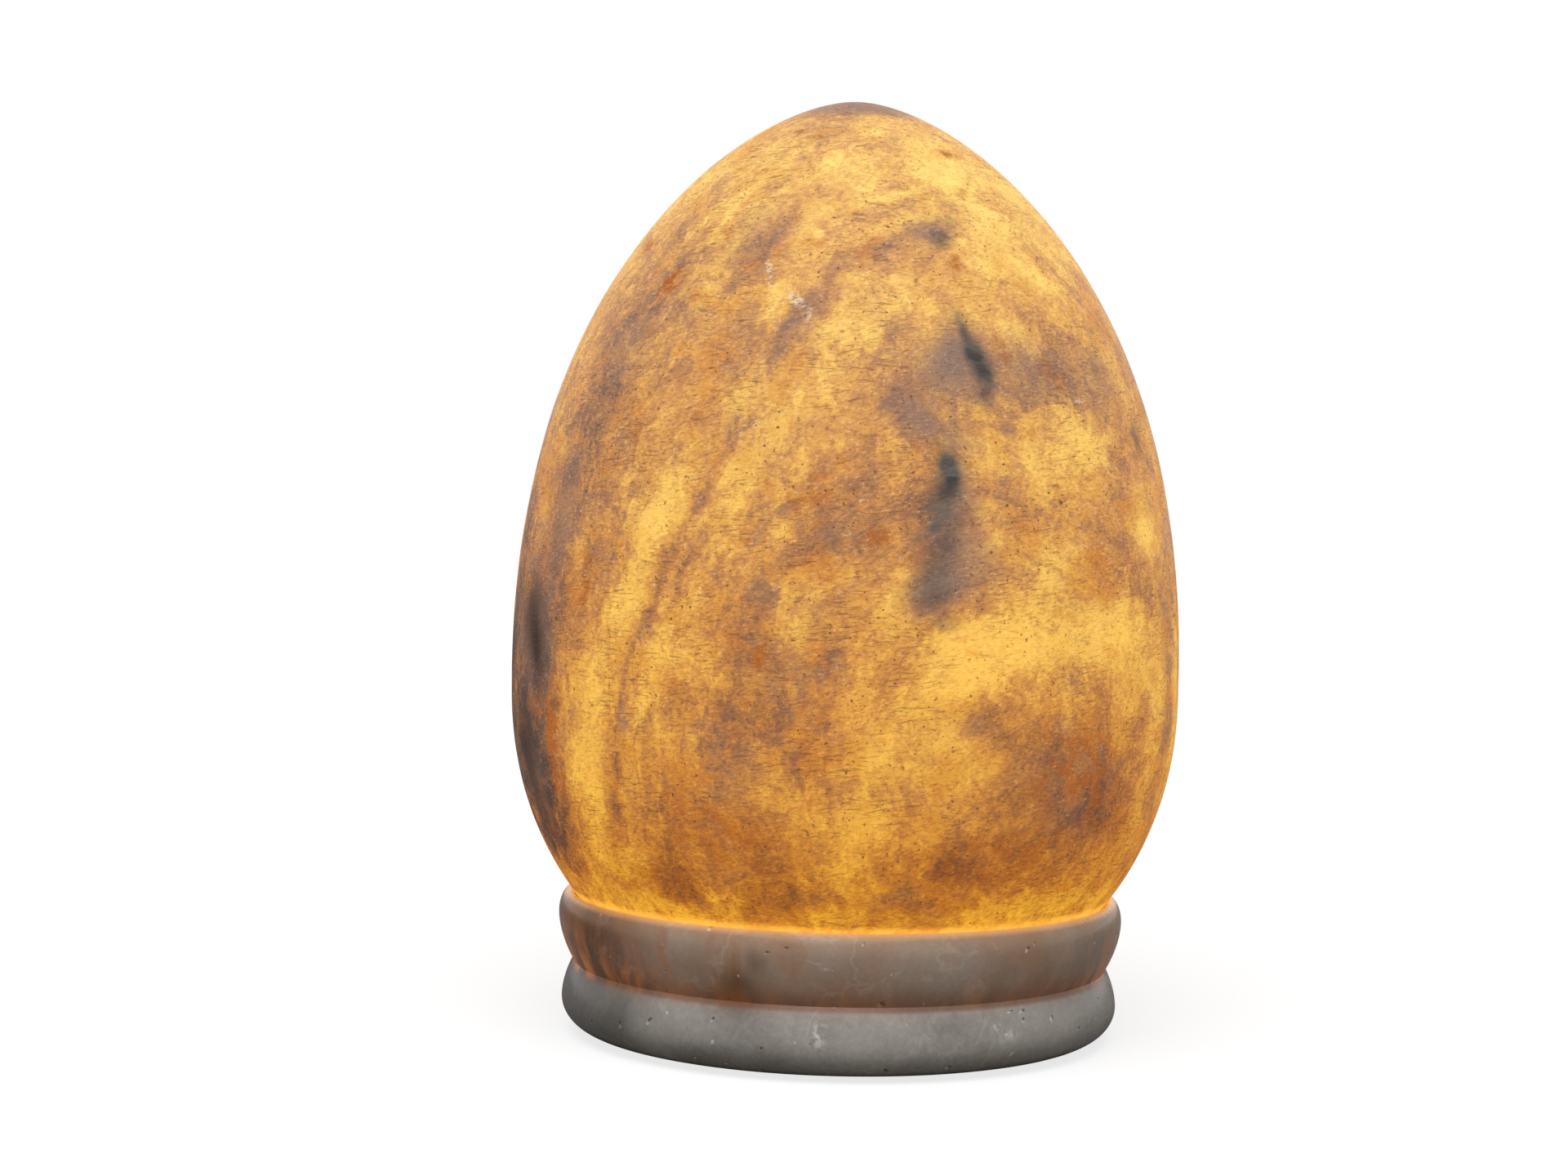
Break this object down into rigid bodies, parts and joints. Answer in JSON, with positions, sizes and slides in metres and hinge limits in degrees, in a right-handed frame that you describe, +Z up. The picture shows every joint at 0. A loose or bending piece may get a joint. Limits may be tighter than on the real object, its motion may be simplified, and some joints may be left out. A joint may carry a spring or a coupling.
{
  "type": "onyx egg lamp",
  "caption": "Hollow carved stone egg that glows, resting in a turned beaded stone base over a small lampholder and bulb; the egg lifts off and the bulb unscrews.",
  "frame": {"origin": "centre of the felt's underside, where the lamp's axis meets the shelf", "axes": "+Z up the lamp's axis, -Y the pictured front, +Y the back, where the flex leaves the base"},
  "size_m": [0.1506, 0.1506, 0.21],
  "materials": {
    "onyx_amber": "satin polished, translucent, banded amber",
    "onyx_grey": "polished",
    "felt": "felt",
    "rubber": "matt",
    "zinc_steel": "zinc plated",
    "brass": "bright",
    "copper": "spring bronze",
    "white_plastic": "moulded",
    "porcelain": "unglazed",
    "nickel": "nickel plated",
    "bulb_glass": "clear",
    "black_glass": "fused black glass",
    "solder": "tinned",
    "tungsten": "drawn wire"
  },
  "bodies": {
    "base": {"onyx_base": "onyx_grey", "felt_pad": "felt", "cord_grommet": "rubber", "threaded_tube": "zinc_steel", "tube_bush": "white_plastic", "base_washer": "zinc_steel", "lock_washer": "zinc_steel", "tube_nut": "brass", "top_washer": "zinc_steel", "top_nut": "brass", "holder_cap": "white_plastic", "cap_lock_screw": "zinc_steel", "holder_core": "porcelain", "holder_skirt": "white_plastic", "screw_shell": "brass", "centre_contact": "copper", "centre_terminal": "brass", "side_terminal": "brass", "centre_terminal_screw": "zinc_steel", "side_terminal_screw": "zinc_steel"},
    "egg": {"egg_shell": "onyx_amber"},
    "bulb_foot": {"bulb_tip_contact": "solder", "bulb_insulator": "black_glass"},
    "bulb": {"bulb_glass": "bulb_glass", "bulb_cap": "nickel", "bulb_stem": "bulb_glass", "lead_wire_1": "nickel", "lead_wire_2": "nickel", "filament_support_1": "nickel", "filament_support_2": "nickel", "filament": "tungsten"}
  },
  "joints": [
    {"name": "egg_lift", "type": "slide", "parent": "base", "child": "egg", "axis": [0, 0, 1], "range_m": [0, 0.11]},
    {"name": "bulb_climb", "type": "slide", "parent": "base", "child": "bulb_foot", "axis": [0, 0, 1], "range_m": [0, 0.0085]},
    {"name": "bulb_turn", "type": "hinge", "parent": "bulb_foot", "child": "bulb", "pos_m": [0, 0, 0.0507], "axis": [0, 0, 1], "range_deg": [0, 1080]}
  ],
  "couplings": [
    {"joint": "bulb_climb", "follows": "bulb_turn", "m_per_rad": 0.00044914}
  ]
}
